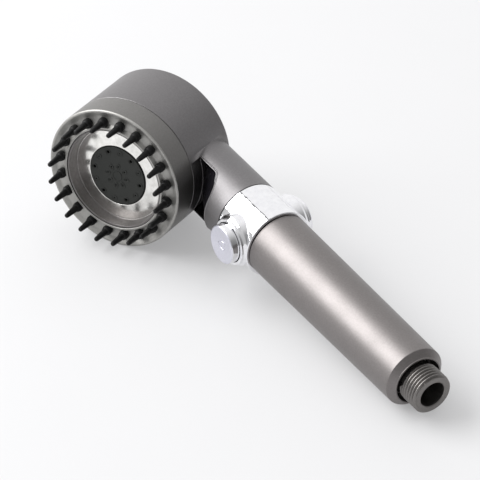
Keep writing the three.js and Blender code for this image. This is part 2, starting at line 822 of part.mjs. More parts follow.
// ---- Assembly ----
add(head, 'comb_ring', combRing(), satin);
add(head, 'silicone_comb', siliconeComb(), rubber);
add(head, 'chrome_dish', chromeDish(), chrome);
add(head, 'nozzle_plate', nozzlePlate(), darkResin);
add(head, 'face_carrier', faceCarrier(), whiteResin);
add(head, 'diverter_disc', diverterDisc(), whiteResin);
add(head, 'port_gasket', portGasket(), rubber);
add(head, 'pivot_screw', pivotScrew(), steel);
add(head, 'detent_ball', closed(new THREE.SphereGeometry(detentBallRadius, coarse, 8)), steel,
  [0, ballDepth, detentPitch]);
add(head, 'detent_spring', detentSpring(), steel, [0, 0, detentPitch]);
add(head, 'water_manifold', waterManifold(), whiteResin);
add(head, 'rear_shell', rearShell(), satin);
add(handle, 'neck_insert', neckInsert(), pianoBlack);
add(handle, 'waterway_tube', waterwayTube(), whiteResin);
tubeSeals.forEach((height, i) =>
  add(handle, `tube_o_ring_${i + 1}`, sealRing(tubeRadius, tubeSeal, height, fine), rubber));

add(valve, 'valve_body', valveBody(), chrome);
add(valve, 'neck_o_ring', sealRing(neckSpigotRadius, seal, neckSealHeight, round), rubber);
add(valve, 'handle_o_ring', sealRing(handleSpigotRadius, seal, handleSealHeight, round), rubber);
add(valve, 'valve_spool', valveSpool(), whiteResin);
[rearSeal, frontSeal].forEach((reach, i) => {
  const spoolRing = sealRing(spoolRadius, seal, reach, fine).rotateZ(-Math.PI / 2);
  add(valve, `spool_o_ring_${i + 1}`, spoolRing, rubber);
});
add(valve, 'stop_button', buttonCap(buttonReach, buttonReach - stopSkirt, buttonReach - buttonSkirt, 1),
  chrome);
add(valve, 'rear_button', buttonCap(rearReach, rearReach - buttonSkirt, rearReach - buttonSkirt, -1),
  chrome);

add(handle, 'handle_tube', handleTube(), satin);
add(handle, 'inlet_nipple', inletNipple(), satin);
add(handle, 'inlet_screen', inletScreen(), steel);
add(handle, 'filter_top_cap', filterTopCap(), whiteResin);
add(handle, 'filter_end_cap', filterEndCap(), whiteResin);
add(handle, 'filter_core', filterCore(), whiteResin);
add(handle, 'filter_sleeve', tube(filterRadius, filterBore, filterStart + filterCap + gap,
  filterEnd - filterCap - gap, round), cotton);

// The shower lies on its drum's side and on the handle's end, so the handle droops a little.
function lowestPoint(droop) {
  const lie = Math.cos(headTilt) * Math.sin(droop);
  const rims = [
    [handleTopRadius, handleTop],
    ...shoulder,
    [threadRadius, handleBase + threadReach],
  ];
  return Math.min(...rims.map(([r, y]) =>
    headRadius - headRadius * Math.sin(droop) - y * lie - r * Math.sqrt(1 - lie * lie)));
}

function restingDroop() {
  let low = 0;
  let high = Math.PI / 6;
  for (let i = 0; i < 40; i += 1) {
    const middle = (low + high) / 2;
    if (lowestPoint(middle) > 0) low = middle;
    else high = middle;
  }
  return low;
}

const shower = new THREE.Group();
head.add(handle);
head.rotation.y = restingDroop();
shower.add(head);
shower.updateMatrixWorld(true);
const bounds = new THREE.Box3().setFromObject(shower, true);
const middle = bounds.getCenter(new THREE.Vector3());
head.position.set(-middle.x, -middle.y, -bounds.min.z);

export default shower;
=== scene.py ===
# Handheld shower head lying on a pale table: satin grey drum and handle, chrome stop valve,
# black silicone pins. Shapes are in millimetres in the frame of the part that they belong to.
import json
from math import asin, atan2, cos, hypot, pi, radians, sin, sqrt, tan

import bmesh
import bpy
from mathutils import Matrix, Vector

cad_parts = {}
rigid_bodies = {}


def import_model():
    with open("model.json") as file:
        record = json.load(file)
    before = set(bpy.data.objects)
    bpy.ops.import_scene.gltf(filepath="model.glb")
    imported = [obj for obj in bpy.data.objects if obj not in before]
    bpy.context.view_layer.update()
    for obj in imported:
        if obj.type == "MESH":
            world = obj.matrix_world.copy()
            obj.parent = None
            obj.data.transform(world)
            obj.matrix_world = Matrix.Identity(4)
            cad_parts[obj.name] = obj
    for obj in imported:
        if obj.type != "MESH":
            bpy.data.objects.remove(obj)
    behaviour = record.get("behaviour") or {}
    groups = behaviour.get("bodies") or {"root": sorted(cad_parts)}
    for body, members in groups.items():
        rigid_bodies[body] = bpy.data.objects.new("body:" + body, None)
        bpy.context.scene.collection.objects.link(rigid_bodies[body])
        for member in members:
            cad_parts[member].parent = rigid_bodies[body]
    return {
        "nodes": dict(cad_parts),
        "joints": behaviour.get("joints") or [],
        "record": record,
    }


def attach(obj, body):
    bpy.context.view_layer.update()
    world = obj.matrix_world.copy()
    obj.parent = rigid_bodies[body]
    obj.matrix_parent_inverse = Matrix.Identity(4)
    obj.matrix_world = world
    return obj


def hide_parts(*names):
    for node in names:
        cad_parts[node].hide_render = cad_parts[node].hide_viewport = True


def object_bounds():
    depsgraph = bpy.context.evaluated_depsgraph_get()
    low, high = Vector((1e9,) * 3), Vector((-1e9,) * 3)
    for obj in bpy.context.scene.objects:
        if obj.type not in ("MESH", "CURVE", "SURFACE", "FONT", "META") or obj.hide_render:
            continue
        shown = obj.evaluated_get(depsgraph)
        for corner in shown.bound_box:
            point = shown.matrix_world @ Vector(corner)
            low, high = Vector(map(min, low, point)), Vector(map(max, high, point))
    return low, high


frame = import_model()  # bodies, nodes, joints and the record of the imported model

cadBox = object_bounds()
mm = 0.001
faceTurn, stopPush = frame["joints"]
inlet = frame["record"]["mounts"][0]


# frames: Y of the head runs from its face to its back, Y of the handle from the head to the inlet

def axes(x, y, origin=(0, 0, 0)):
    x, y = Vector(x).normalized(), Vector(y).normalized()
    return Matrix.Translation(origin) @ Matrix((x, y, x.cross(y))).transposed().to_4x4()


def span(node, place):
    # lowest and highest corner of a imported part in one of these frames
    points = [place.inverted() @ (v.co / mm) for v in frame["nodes"][node].data.vertices]
    return [Vector([pick(p[k] for p in points) for k in range(3)]) for pick in (min, max)]


handleAxis = Vector(inlet["axis"]).normalized()
depthAxis = -Vector(faceTurn["axis"])
towardHandle = handleAxis - handleAxis.dot(depthAxis) * depthAxis
headPlace = axes(towardHandle, depthAxis, Vector(faceTurn["pos_m"]) / mm)
handleTurn = axes(handleAxis.cross(headPlace.to_3x3().col[2]), handleAxis)
tubeLow, tubeHigh = span("handle_tube", handleTurn)
middle = handleTurn @ ((tubeLow + tubeHigh) / 2)
ringLow, ringHigh = span("comb_ring", headPlace)
headRadius = ringHigh.z
inHead = headPlace.inverted() @ middle
slide = (headRadius - inHead.x) / (headPlace.inverted().to_3x3() @ handleAxis).x
handlePlace = Matrix.Translation(middle + slide * handleAxis) @ handleTurn
valveLow, valveHigh = span("valve_body", handlePlace)
valveMiddle = (valveLow.y + valveHigh.y) / 2
valvePlace = axes(-Vector(stopPush["axis"]), handleAxis, handlePlace @ Vector((0, valveMiddle, 0)))
handleInHead = headPlace.inverted() @ handlePlace
print("frames read: head radius %.2f mm, valve at %.2f mm" % (headRadius, valveMiddle))

seam = 0.15  # half the gap between two casings
fit = 0.3
softEdge = 0.3  # rounding of a moulded edge
realEdge = radians(30)  # a sharper bend is shaded as an edge
past = 2  # how far a cutting tool goes beyond what it cuts
fine = 256  # sides of the large round pieces


# shapes are lists of points and of faces

def rounded(outline, steps=7):
    # a corner given as (r, y, radius) becomes an arc
    points = []
    for i, corner in enumerate(outline):
        here = Vector(corner[:2])
        if len(corner) == 2:
            points.append(here)
            continue
        back = (Vector(outline[i - 1][:2]) - here).normalized()
        ahead = (Vector(outline[(i + 1) % len(outline)][:2]) - here).normalized()
        half = back.angle(ahead) / 2
        centre = here + (back + ahead).normalized() * corner[2] / sin(half)
        start = here + back * corner[2] / tan(half) - centre
        end = here + ahead * corner[2] / tan(half) - centre
        turn = start.angle_signed(end)
        for k in range(steps + 1):
            spoke = start.copy()
            spoke.rotate(Matrix.Rotation(-turn * k / steps, 2))
            points.append(centre + spoke)
    return points


def lathe(outline, segments=192):
    # a closed outline turned about Y; points on the axis are shared
    points, faces, rings = [], [], []
    for r, y in rounded(outline):
        count = 1 if r < 1e-6 else segments
        rings.append([len(points) + k % count for k in range(segments)])
        points += [Vector((r * sin(2 * pi * k / segments), y, r * cos(2 * pi * k / segments)))
                   for k in range(count)]
    for i, ring in enumerate(rings):
        after = rings[(i + 1) % len(rings)]
        for k in range(segments):
            j = (k + 1) % segments
            face = list(dict.fromkeys((ring[k], ring[j], after[j], after[k])))
            if len(face) > 2:
                faces.append(face)
    return points, faces


def across(shape):
    # from about Y to about X
    return moved(shape, Matrix.Rotation(-pi / 2, 4, "Z"))


def disc(radius, low, high, segments=192):
    return lathe([(0, low), (radius, low), (radius, high), (0, high)], segments)


def prism(outline, low, high):
    # an outline of (y, z) points pulled along X
    n = len(outline)
    points = [Vector((x, y, z)) for x in (low, high) for y, z in outline]
    sides = [[i, (i + 1) % n, n + (i + 1) % n, n + i] for i in range(n)]
    return points, [list(range(n))[::-1], list(range(n, 2 * n))] + sides


def bead(path, radius, closed=False, sides=12):
    # a round bead along a path
    points, faces = [], []
    n = len(path)
    for i, here in enumerate(path):
        before = path[i - 1] if closed or i else here
        after = path[(i + 1) % n] if closed or i + 1 < n else here
        along = (after - before).normalized()
        side = side - side.dot(along) * along if points else along.orthogonal()
        side.normalize()
        up = along.cross(side)
        for k in range(sides):
            angle = 2 * pi * k / sides
            points.append(here + radius * (cos(angle) * side + sin(angle) * up))
    for i in range(n if closed else n - 1):
        for k in range(sides):
            a, b = i * sides, ((i + 1) % n) * sides
            j = (k + 1) % sides
            faces.append([a + k, a + j, b + j, b + k])
    if not closed:
        faces += [list(range(sides))[::-1], [(n - 1) * sides + k for k in range(sides)]]
    return points, faces


def moved(shape, matrix):
    return [matrix @ p for p in shape[0]], shape[1]


def together(*shapes):
    points, faces = [], []
    for shape in shapes:
        faces += [[len(points) + i for i in face] for face in shape[1]]
        points += shape[0]
    return points, faces


def aroundHead(shape, count, pitch, start=0.0):
    # copies about Y, the first along X
    turn = [start + 2 * pi * k / count for k in range(count)]
    return [moved(shape, Matrix.Rotation(a, 4, "Y") @ Matrix.Translation((pitch, 0, 0))) for a in turn]


def asObject(shape, name="working shape"):
    mesh = bpy.data.meshes.new(name)
    mesh.from_pydata([tuple(p) for p in shape[0]], [], shape[1])
    piece = bpy.data.objects.new(name, mesh)
    bpy.context.scene.collection.objects.link(piece)
    bpy.context.view_layer.objects.active = piece
    fixed = bmesh.new()
    fixed.from_mesh(mesh)
    bmesh.ops.recalc_face_normals(fixed, faces=fixed.faces)
    fixed.to_mesh(mesh)
    fixed.free()
    return piece


def settled(piece):
    # the mesh with its modifiers applied
    graph = bpy.context.evaluated_depsgraph_get()
    graph.update()
    return bpy.data.meshes.new_from_object(piece.evaluated_get(graph))


def combine(operation, base, *tools):
    # operation is DIFFERENCE, UNION or INTERSECT, with all the tools at once
    subject = asObject(base)
    operands = bpy.data.collections.new("operands")
    for tool in tools:
        operands.objects.link(asObject(tool))
    change = subject.modifiers.new("combine", "BOOLEAN")
    change.operation = operation
    change.solver = "EXACT"
    change.operand_type = "COLLECTION"
    change.collection = operands
    mesh = settled(subject)
    for item in (subject, *operands.objects):
        bpy.data.objects.remove(item)
    bpy.data.collections.remove(operands)
    return [v.co.copy() for v in mesh.vertices], [list(p.vertices) for p in mesh.polygons]


def addPiece(name, shape, place, body, nodes, finishes, pickFinish=None):
    # a piece of the object in metres, smooth except at real edges
    piece = asObject(shape, name)
    piece.data.shade_smooth()
    piece.data.set_sharp_from_angle(angle=realEdge)
    weigh = piece.modifiers.new("even shading", "WEIGHTED_NORMAL")
    weigh.keep_sharp = True
    mesh = settled(piece)
    piece.modifiers.clear()
    piece.data = mesh
    for finish in finishes:
        mesh.materials.append(finish)
    if pickFinish:
        for polygon in mesh.polygons:
            polygon.material_index = pickFinish(polygon.center, polygon.normal)
    mesh.transform(Matrix.Scale(mm, 4) @ place)
    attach(piece, body)
    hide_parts(*nodes)
    print("made %s: %d faces" % (name, len(mesh.polygons)))


# materials

def linear(hexColour):
    # sRGB hex to linear light
    parts = [int(hexColour[i:i + 2], 16) / 255 for i in (1, 3, 5)]
    return [c / 12.92 if c <= 0.04045 else ((c + 0.055) / 1.055) ** 2.4 for c in parts] + [1.0]


def addNode(tree, kind, inputs=None, ramp=None, **settings):
    # inputs are values or the sockets that they come from
    node = tree.nodes.new(kind)
    for name, value in settings.items():
        setattr(node, name, value)
    for name, value in (inputs or {}).items():
        if isinstance(value, bpy.types.NodeSocket):
            tree.links.new(value, node.inputs[name])
        else:
            node.inputs[name].default_value = value
    if ramp:
        stops = node.color_ramp.elements
        while len(stops) < len(ramp):
            stops.new(1.0)
        for stop, (position, colour) in zip(stops, ramp):
            stop.position = position
            stop.color = colour
    return node


def newFinish(name, constants, varying, bumps=()):
    # varying has (socket, noise, low, high) and bumps has (noise, depth in mm), coarse first,
    # where a noise is (size of its spots in mm, detail)
    material = bpy.data.materials.new(name)
    material.use_nodes = True
    tree = material.node_tree
    tree.nodes.clear()
    surface = addNode(tree, "ShaderNodeBsdfPrincipled", constants)
    addNode(tree, "ShaderNodeOutputMaterial", {"Surface": surface.outputs[0]})
    where = addNode(tree, "ShaderNodeTexCoord").outputs["Object"]
    noises, sources = {}, {}
    for size, detail in dict.fromkeys([row[1] for row in varying] + [row[0] for row in bumps]):
        inputs = {"Vector": where, "Scale": 1 / (size * mm), "Detail": detail}
        noises[size, detail] = addNode(tree, "ShaderNodeTexNoise", inputs).outputs["Fac"]
    for socket, noise, low, high in varying:
        ramp = addNode(tree, "ShaderNodeValToRGB", {"Fac": noises[noise]}, ramp=[(0.3, low), (0.7, high)])
        sources[socket] = ramp.outputs["Color"]
    for noise, depth in bumps:
        inputs = {"Height": noises[noise], "Strength": 1.0, "Distance": depth * mm}
        if "Normal" in sources:
            inputs["Normal"] = sources["Normal"]
        sources["Normal"] = addNode(tree, "ShaderNodeBump", inputs).outputs["Normal"]
    for socket, source in sources.items():
        tree.links.new(source, surface.inputs[socket])
    return material


def grey(value):
    return (value, value, value, 1.0)


satin = {
    "flake": (0.9, 3.0),  # real flake is 0.05 mm, drawn coarser so that it shows
    "flakeDepth": 0.0012,
    "peel": (4.0, 2.0),
    "peelDepth": 0.012,
    "cloud": (12.0, 2.0),
    "smoother": 0.02,
    "rougher": 0.03,
}


def satinTitanium(name, dark, light, roughness):
    # ABS, vacuum plated and lacquered satin: a blurred bright streak with a fine metal flake
    smooth, rough = roughness - satin["smoother"], roughness + satin["rougher"]
    return newFinish(name, {"Metallic": 1.0, "Roughness": roughness}, [
        ("Base Color", satin["flake"], linear(dark), linear(light)),
        ("Roughness", satin["cloud"], grey(smooth), grey(rough)),
    ], [(satin["peel"], satin["peelDepth"]), (satin["flake"], satin["flakeDepth"])])


def chromePlate(name, wave, roughness=0.05, dark="#ECECEF", light="#F5F5F7", waveSize=9.0):
    # bright chrome on moulded ABS: a mirror, with the slow waves of the moulding under it
    spots, waves = (3.0, 2.0), (waveSize, 1.0)
    return newFinish(name, {"Metallic": 1.0, "Roughness": roughness},
                     [("Base Color", spots, linear(dark), linear(light))], [(waves, wave)])


def satinChrome(name):
    # chrome plate on a spark-eroded face: a soft cool glow with no clear reflections
    pits, pitDepth = (0.5, 3.0), 0.004
    return newFinish(name, {"Metallic": 1.0, "Roughness": 0.34},
                     [("Base Color", pits, linear("#D3D3DE"), linear("#DFDFE8"))], [(pits, pitDepth)])


def siliconeRubber(name, colour):
    # moulded silicone: black with a soft wide sheen
    cloud, pores, poreDepth = (2.0, 3.0), (0.35, 3.0), 0.01
    return newFinish(name, {"Roughness": 0.5, "IOR": 1.41, "Specular IOR Level": 0.3},
                     [("Base Color", cloud, linear(colour), linear("#161617"))], [(pores, poreDepth)])


def mouldedResin(name, dark, light, roughness=0.5):
    # a fine spark-eroded matt surface
    pits, pitDepth = (0.5, 3.0), 0.01
    return newFinish(name, {"Roughness": roughness, "IOR": 1.48},
                     [("Base Color", pits, linear(dark), linear(light))], [(pits, pitDepth)])


def polishedBlack(name):
    # polished black ABS: dark, with a narrow sheen and fine wiping marks
    cloud, marks = (8.0, 2.0), (1.5, 4.0)
    return newFinish(name, {"Roughness": 0.3, "IOR": 1.54}, [
        ("Base Color", cloud, linear("#141318"), linear("#1C1A20")),
        ("Roughness", marks, grey(0.26), grey(0.34)),
    ])


def stainless(name):
    # turned stainless steel: a grey shine with small darker spots
    return newFinish(name, {"Metallic": 1.0, "Roughness": 0.28},
                     [("Base Color", (1.0, 3.0), linear("#9C9D9E"), linear("#B8B9BA"))])


def spunCotton(name):
    # melt-blown filter cotton: matt white felt
    fibre, fibreDepth = (0.8, 5.0), 0.12
    return newFinish(name, {"Roughness": 0.95},
                     [("Base Color", fibre, linear("#DCDAD2"), linear("#F4F3EE"))], [(fibre, fibreDepth)])


ringTitanium = satinTitanium("ring satin titanium", "#7D7C7A", "#858382", 0.47)
shellTitanium = satinTitanium("shell satin titanium", "#7A7879", "#828081", 0.45)
handleTitanium = satinTitanium("handle satin titanium", "#7D7978", "#858180", 0.45)
threadTitanium = satinTitanium("thread satin titanium", "#7D7A78", "#858280", 0.42)
bandChrome = chromePlate("valve chrome plate", 0.11, waveSize=5.0)
dishChrome = chromePlate("dish chrome plate", 0.1, 0.2, "#DBDAD6", "#F0EFEC", 5.0)
# a lighter copy of the ring's satin titanium for the rim's front face: painted light, not a second paint
paintedLightRimTitanium = satinTitanium("rim satin titanium, painted light", "#A09F9C", "#ABAAA7", 0.52)
# the dish's wall is satin titanium plate rather than chrome; its tone, darker than the ring's, is painted
# shade in the recess
shadedWallTitanium = satinTitanium("dish wall plate, painted shade", "#6C6968", "#797676", 0.38)
buttonFace = satinChrome("button satin chrome")
buttonSide = chromePlate("button chrome plate", 0.02)
pinSilicone = siliconeRubber("black silicone", "#0B0B0C")
nitrile = siliconeRubber("nitrile rubber", "#0E0E0E")
nozzleResin = mouldedResin("nozzle resin", "#121411", "#1C1F1B", 0.6)
gloss = polishedBlack("polished black ABS")
naturalPom = mouldedResin("natural POM", "#DEDDD6", "#EBEAE4")
steel = stainless("stainless steel")
cotton = spunCotton("filter cotton")
print("materials made")


# turning rim of the spray face, with the channel that the pins stand in

rim = {
    "width": 10.35,
    "lip": 1.2,
    "lipRound": 0.9,
    "lipInner": 0.7,
    "channel": 1.3,
    "ramp": 1.2,
    "rampRound": 3.0,
    "floorRound": 1.2,
    "beadWidth": 1.1,
    "beadRound": 0.4,
    "plate": 2.0,
    "wall": 1.8,
    "faceDepth": 1.8,
    "facing": 0.3,  # how far a face of the front has to look forward
}
pins = {
    "count": 20,
    "inset": 6.5,
    "shank": 2.1,
    "holePlay": 0.1,
    "sunk": 0.05,
    "footRadius": 2.4,
    "footRound": 0.1,
    "bulb": 2.55,
    "bulbRise": 0.5,  # rises are in front of the rim
    "bulbRound": 0.9,
    "capRadius": 2.2,
    "capRise": 1.9,
    "capRound": 0.7,
    "stem": 1.75,
    "stemRise": 2.3,
    "stemRound": 0.35,
    "tip": 1.15,
    "tipRound": 0.95,
    "web": 1.8,
    "webOverlap": 0.5,
}
faceOpening = headRadius - rim["width"]
beadOut = faceOpening + rim["beadWidth"]
pinPitch = headRadius - pins["inset"]
plateBack = rim["channel"] + rim["plate"]


def combRing():
    back = ringHigh.y
    channelOut = headRadius - rim["lip"] - rim["channel"]
    body = lathe([
        (headRadius, back, softEdge),
        (headRadius, 0, rim["lipRound"]),
        (headRadius - rim["lip"], 0, rim["lipInner"]),
        (channelOut - rim["ramp"], rim["channel"], rim["rampRound"]),
        (beadOut + rim["channel"], rim["channel"], rim["floorRound"]),
        (beadOut, ringLow.y, rim["beadRound"]),
        (faceOpening, ringLow.y, rim["beadRound"]),
        (faceOpening, plateBack + fit),
        (beadOut, plateBack + fit),
        (beadOut, plateBack),
        (headRadius - rim["wall"], plateBack),
        (headRadius - rim["wall"], back),
    ], fine)
    hole = disc(pins["shank"] + pins["holePlay"], -past, plateBack + past, segments=24)
    return combine("DIFFERENCE", body, together(*aroundHead(hole, pins["count"], pinPitch)))


def siliconeComb():
    tipDepth = span("silicone_comb", headPlace)[0].y
    floor = rim["channel"] - pins["sunk"]
    webFront = plateBack + fit
    root = webFront + pins["webOverlap"]
    pin = lathe([
        (0, root),
        (pins["shank"], root),
        (pins["shank"], floor),
        (pins["footRadius"], floor, pins["footRound"]),
        (pins["bulb"], -pins["bulbRise"], pins["bulbRound"]),
        (pins["capRadius"], -pins["capRise"], pins["capRound"]),
        (pins["stem"], -pins["stemRise"], pins["stemRound"]),
        (pins["tip"], tipDepth, pins["tipRound"]),
        (0, tipDepth),
    ], segments=40)
    outer = headRadius - rim["wall"] - fit
    inner = beadOut + fit
    web = lathe([(outer, webFront), (outer, webFront + pins["web"]),
                 (inner, webFront + pins["web"]), (inner, webFront)])
    return combine("UNION", web, together(*aroundHead(pin, pins["count"], pinPitch)))


def frontOrSide(centre, normal):
    # the rim's front face gets a lighter copy of the satin finish: painted light where it faces the bright
    # table and room
    front = centre.y < rim["faceDepth"] and normal.y < -rim["facing"]
    return 1 if front else 0


addPiece("comb_ring_fine", combRing(), headPlace, "spray_face", ["comb_ring"],
         [ringTitanium, paintedLightRimTitanium], frontOrSide)
addPiece("silicone_comb_fine", siliconeComb(), headPlace, "spray_face", ["silicone_comb"],
         [pinSilicone])


# chrome dish and the nozzle plate in the middle of it

dish = {
    "radius": faceOpening - fit,
    "wall": 1.2,
    "backRound": 1.2,
    "corner": 1.5,
    "cornerOuter": 0.4,
    "cornerRound": 0.5,
    "depth": 6.2,
    "innerDepth": 3.9,
    "innerRound": 0.35,
    "mouthWall": 0.7,
    "mouthRound": 0.2,
}
plate = {
    "radius": 15.9,
    "round": 0.45,
    "depth": 3.4,
    "thickness": 1.6,
    "skirt": 1.2,
    "flange": 1.6,
    "jets": 12,
    "jetInset": 2.6,
    "jetRadius": 0.85,
    "fineJetRadius": 0.4,
    "ringRadius": 1.45,
    "ringBead": 0.2,
    "innerJets": 8,
    "innerPitch": 5.4,
    "petalLength": 1.5,
    "petalWidth": 0.95,
    "hubRadius": 2.6,
    "petalBead": 0.24,
}


def chromeDish():
    outer, corner, depth = dish["radius"], dish["radius"] - dish["corner"], dish["depth"]
    bore = plate["radius"] + fit
    return lathe([
        (outer, 0),
        (outer, depth + dish["wall"], dish["backRound"]),
        (corner, depth + dish["wall"], dish["cornerOuter"]),
        (bore, dish["innerDepth"] + dish["wall"]),
        (bore, dish["innerDepth"], dish["innerRound"]),
        (corner, depth, dish["cornerRound"]),
        (outer - dish["mouthWall"], dish["mouthRound"], dish["mouthRound"]),
    ], fine)


def loopBead(length, width, radius, segments):
    # a closed low rib on the nozzle plate
    turn = [2 * pi * k / segments for k in range(segments)]
    return bead([Vector((length * cos(a), plate["depth"], width * sin(a))) for a in turn], radius, True, 8)


def nozzlePlate():
    high = span("nozzle_plate", headPlace)[1]
    front, back = plate["depth"], high.y
    chamber = front + plate["thickness"]
    pitch = plate["radius"] - plate["jetInset"]
    body = lathe([
        (0, front),
        (plate["radius"], front, plate["round"]),
        (plate["radius"], back - plate["flange"]),
        (high.z, back - plate["flange"]),
        (high.z, back),
        (plate["radius"] - plate["skirt"], back),
        (plate["radius"] - plate["skirt"], chamber),
        (0, chamber),
    ])
    jet = disc(plate["jetRadius"], front - past / 2, chamber + past / 2, segments=32)
    fineJet = disc(plate["fineJetRadius"], front - past / 2, chamber + past / 2, segments=20)
    step = 2 * pi / plate["jets"]
    half = plate["jets"] // 2
    holes = aroundHead(jet, half, pitch) + aroundHead(fineJet, half, pitch, step)
    holes += aroundHead(fineJet, plate["innerJets"], plate["innerPitch"])
    drilled = combine("DIFFERENCE", body, together(*holes))
    # low rings round the outer jets and low ribs that fan out round the inner ones
    ring = loopBead(plate["ringRadius"], plate["ringRadius"], plate["ringBead"], segments=40)
    petal = loopBead(plate["petalLength"], plate["petalWidth"], plate["petalBead"], segments=32)
    hub = loopBead(plate["hubRadius"], plate["hubRadius"], plate["petalBead"], segments=48)
    return together(drilled, *aroundHead(ring, plate["jets"], pitch),
                    *aroundHead(petal, plate["innerJets"], plate["innerPitch"]), hub)


def floorOrWall(centre, normal):
    # faces out past the dish's corner take the darker satin copy: painted shade on the wall
    wallStart = dish["radius"] - dish["corner"] - softEdge
    return 0 if hypot(centre.x, centre.z) < wallStart else 1


addPiece("chrome_dish_fine", chromeDish(), headPlace, "spray_face", ["chrome_dish"],
         [dishChrome, shadedWallTitanium], floorOrWall)
addPiece("nozzle_plate_fine", nozzlePlate(), headPlace, "spray_face", ["nozzle_plate"],
         [nozzleResin])


# rear shell: the drum and its neck in one casing, with a scoop in the neck's front

neck = {
    "wall": 2.0,
    "margin": 2.25,
    "endMargin": 12.0,
    "corner": 9.0,
    "rise": 8.5,
    "lip": 0.8,
    "insertWall": 1.6,
    "crown": 30.0,
    "crownReach": 60.0,
    "edge": 0.42,
    "seamBead": 0.3,
    "seamDepth": 27.0,  # forward of the drum's back
    "seamTurn": 24.0,
}
drum = {"wall": 1.8, "backRound": 1.6, "ledge": 0.9, "ledgeDepth": 8.0}
neckRadius = span("valve_body", valvePlace)[1].z
tubeTop = span("handle_tube", handlePlace)[0].y
neckEnd = 2 * valveMiddle - tubeTop
neckInner = neckRadius - neck["wall"]
headDepth = span("rear_shell", headPlace)[1].y
seamDepth = ringHigh.y + seam
headTilt = asin(-handleInHead.to_3x3().col[1].y)


def scoopOutline(inset, start):
    # (y, z) points of the U that the scoop makes, from one arm round to the other
    half = neckRadius - neck["margin"] - inset
    end = neckEnd + seam - neck["endMargin"] - inset
    corner = neck["corner"] - inset
    centre = end - corner
    bend = []
    steps = 12
    for side in (-1, 1):
        for k in range(steps + 1):
            angle = pi / 2 * (k / steps - (side < 0))
            bend.append((centre + corner * cos(angle), side * (half - corner) + corner * sin(angle)))
    return [(start, -half)] + bend + [(start, half)]


def scoopColumn(inset):
    front = 0.1  # it starts just in front of the neck's axis
    return prism(scoopOutline(inset, -2 * neckRadius), front, 2 * neckRadius)


def belowFloor(lowered):
    # everything behind the insert's crowned floor: a wide rod under the line from root to end
    rootX, rootY = neck["rise"] * cos(headTilt), neck["rise"] * sin(headTilt)
    endX = neckRadius - neck["lip"]
    endY = neckEnd + seam - neck["endMargin"]
    slope = atan2(endX - rootX, endY - rootY)
    rod = disc(neck["crown"], -neck["crownReach"], neck["crownReach"], segments=160)
    place = (Matrix.Translation((rootX, rootY, 0)) @ Matrix.Rotation(-slope, 4, "Z")
             @ Matrix.Translation((-neck["crown"] - lowered, 0, 0)))
    return moved(rod, place)


def rearShell():
    root = drum["wall"] / 3
    inner = headRadius - drum["wall"]
    column = combine("DIFFERENCE", moved(scoopColumn(0), handleInHead),
                     disc(headRadius - root, -2 * headDepth, 2 * headDepth))
    rod = combine(
        "DIFFERENCE", moved(disc(neckRadius, -headRadius, neckEnd), handleInHead),
        disc(headRadius - 2 * root, -2 * headDepth, 2 * headDepth),
        disc(headRadius - root / 2, -2 * headDepth, seamDepth + drum["wall"]),
        disc(4 * headRadius, headDepth, 5 * headDepth, segments=32),
        moved(disc(neckInner, -headRadius / 2, neckEnd + past / 2), handleInHead),
        column)
    body = lathe([
        (headRadius, seamDepth + seam, softEdge),
        (headRadius, headDepth, drum["backRound"]),
        (0, headDepth),
        (0, headDepth - drum["wall"]),
        (inner - drum["ledge"], headDepth - drum["wall"]),
        (inner - drum["ledge"], seamDepth + drum["ledgeDepth"]),
        (inner, seamDepth + drum["ledgeDepth"]),
        (inner, seamDepth + seam),
    ], fine)
    return combine("UNION", body, rod)


def scoopEdge():
    # the neck's rolled edge round the scoop
    path = []
    start, stride = -2.0, 0.8
    outline = scoopOutline(-neck["edge"] / 2, start)
    for i, (y, z) in enumerate(outline[:-1]):
        nextY, nextZ = outline[i + 1]
        steps = max(1, round(hypot(nextY - y, nextZ - z) / stride))
        path += [(y + (nextY - y) * k / steps, z + (nextZ - z) * k / steps) for k in range(steps)]
    path.append(outline[-1])
    rise = neckRadius - neck["edge"] / 2
    return bead([Vector((sqrt(rise ** 2 - z ** 2), y, z)) for y, z in path], neck["edge"])


def insertSeam():
    # the rolled line on the drum's side where the insert meets it
    depth = headDepth - neck["seamDepth"]
    half = 20
    turn = [radians(neck["seamTurn"]) * (k / half - 1) for k in range(2 * half + 1)]
    return bead([Vector((headRadius * cos(a), depth, headRadius * sin(a))) for a in turn], neck["seamBead"])


def neckInsert():
    outer = disc(neckRadius - 2 * fit, -neckRadius, neckRadius * 2)
    plug = combine("INTERSECT", outer, scoopColumn(fit), belowFloor(0))
    rod = disc(neckInner - fit, -2 * neckRadius, neckRadius * 3)
    hollow = combine("INTERSECT", rod, belowFloor(neck["insertWall"]))
    side = moved(disc(headRadius + fit, -headDepth, 2 * headDepth), handleInHead.inverted())
    return combine("DIFFERENCE", plug, hollow, side)


shell = together(rearShell(), moved(scoopEdge(), handleInHead), insertSeam())
addPiece("rear_shell_fine", shell, headPlace, "casing", ["rear_shell"], [shellTitanium])
addPiece("neck_insert_fine", neckInsert(), handlePlace, "casing", ["neck_insert"], [gloss])


# stop valve: a chrome band with a collar on each side, and a button through it

valve = {
    "collar": 11.9,
    "collarRound": 0.35,
    "flare": 1.2,
    "flareHeight": 3.0,
    "flareLength": 2.2,
    "bore": 10.4,
    "boreFloor": 11.0,
    "round": 0.5,
    "spigotWall": 2.2,
    "inset": 0.02,  # keeps the collars off the band's end faces
    "waterway": 5.5,
    "spoolBore": 6.7,
}
button = {
    "round": 0.9,
    "rim": 0.3,
    "footRound": 0.2,
    "dish": 0.35,
    "wall": 1.5,
    "skirt": 8.0,
    "faceDepth": 0.6,
    "markSize": 3.2,
    "markWidth": 0.9,  # times its size
    "markBead": 0.24,
}
collarReach = valveHigh.x
valveHalf = tubeTop - seam - valveMiddle - seam
spigot = (valveHigh.y - valveLow.y) / 2 - valveHalf


